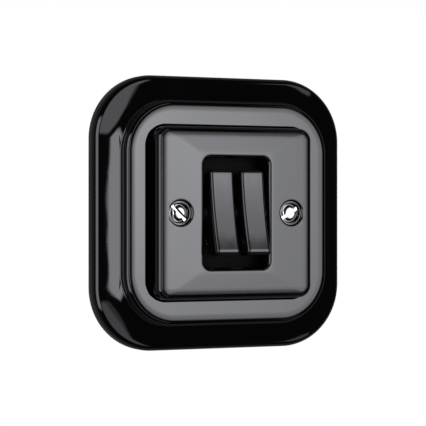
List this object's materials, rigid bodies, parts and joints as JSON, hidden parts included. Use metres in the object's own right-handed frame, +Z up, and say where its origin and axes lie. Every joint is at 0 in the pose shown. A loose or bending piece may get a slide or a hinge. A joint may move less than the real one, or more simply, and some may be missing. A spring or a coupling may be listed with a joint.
{
  "type": "blind switch",
  "caption": "Square black glazed ceramic blind switch with a stepped frame, a screwed centre cover and paired sprung rockers, on a strap for a wall box.",
  "frame": {"origin": "centre of the back face of the strap, on the wall plane, midway between the slots for the box screws", "axes": "+Z up, +X to the right seen from the front, +Y into the wall, so the rockers face -Y"},
  "size_m": [0.09, 0.0467, 0.09],
  "materials": {
    "black_glaze": "glossy black glaze",
    "rocker_plastic": "polished black moulding",
    "polished_nickel": "polished nickel plate",
    "bright_steel": "bright drawn steel",
    "zinc_steel": "zinc plated",
    "brass": "plain brass",
    "contact_silver": "silver alloy",
    "black_moulding": "black thermoset moulding",
    "grey_moulding": "light grey thermoset moulding",
    "white_moulding": "natural polyamide"
  },
  "bodies": {
    "switch_body": {"surround_frame": "black_glaze", "cover_plate": "black_glaze", "cover_screws": "polished_nickel", "rocker_axle": "bright_steel", "switch_bridge": "black_moulding", "mounting_strap": "zinc_steel", "cover_posts": "brass", "switch_base": "grey_moulding", "base_screws": "zinc_steel", "up_return_spring": "bright_steel", "down_return_spring": "bright_steel", "line_bar": "brass", "up_terminal": "brass", "down_terminal": "brass", "fixed_contacts": "contact_silver", "terminal_screws": "zinc_steel", "clamp_plates": "zinc_steel"},
    "up_rocker": {"up_rocker": "rocker_plastic"},
    "down_rocker": {"down_rocker": "rocker_plastic"},
    "up_pusher": {"up_pusher": "white_moulding", "up_contact_bar": "brass", "up_bar_contacts": "contact_silver"},
    "down_pusher": {"down_pusher": "white_moulding", "down_contact_bar": "brass", "down_bar_contacts": "contact_silver"}
  },
  "joints": [
    {"name": "up_rocker_pivot", "type": "hinge", "parent": "switch_body", "child": "up_rocker", "pos_m": [-0.0055, -0.01402, 0], "axis": [1, 0, 0], "range_deg": [0, 22]},
    {"name": "down_rocker_pivot", "type": "hinge", "parent": "switch_body", "child": "down_rocker", "pos_m": [0.0055, -0.01402, 0], "axis": [1, 0, 0], "range_deg": [0, 22]},
    {"name": "up_pusher_slide", "type": "slide", "parent": "switch_body", "child": "up_pusher", "axis": [0, 1, 0], "range_m": [0, 0.00343], "stiffness_N_per_m": 800, "springref_m": -0.0029, "deforming": ["up_return_spring"]},
    {"name": "down_pusher_slide", "type": "slide", "parent": "switch_body", "child": "down_pusher", "axis": [0, 1, 0], "range_m": [0, 0.00343], "stiffness_N_per_m": 800, "springref_m": -0.0029, "deforming": ["down_return_spring"]}
  ],
  "couplings": [
    {"joint": "up_rocker_pivot", "follows": "up_pusher_slide", "rad_per_m": 111.8},
    {"joint": "down_rocker_pivot", "follows": "down_pusher_slide", "rad_per_m": 111.8}
  ]
}
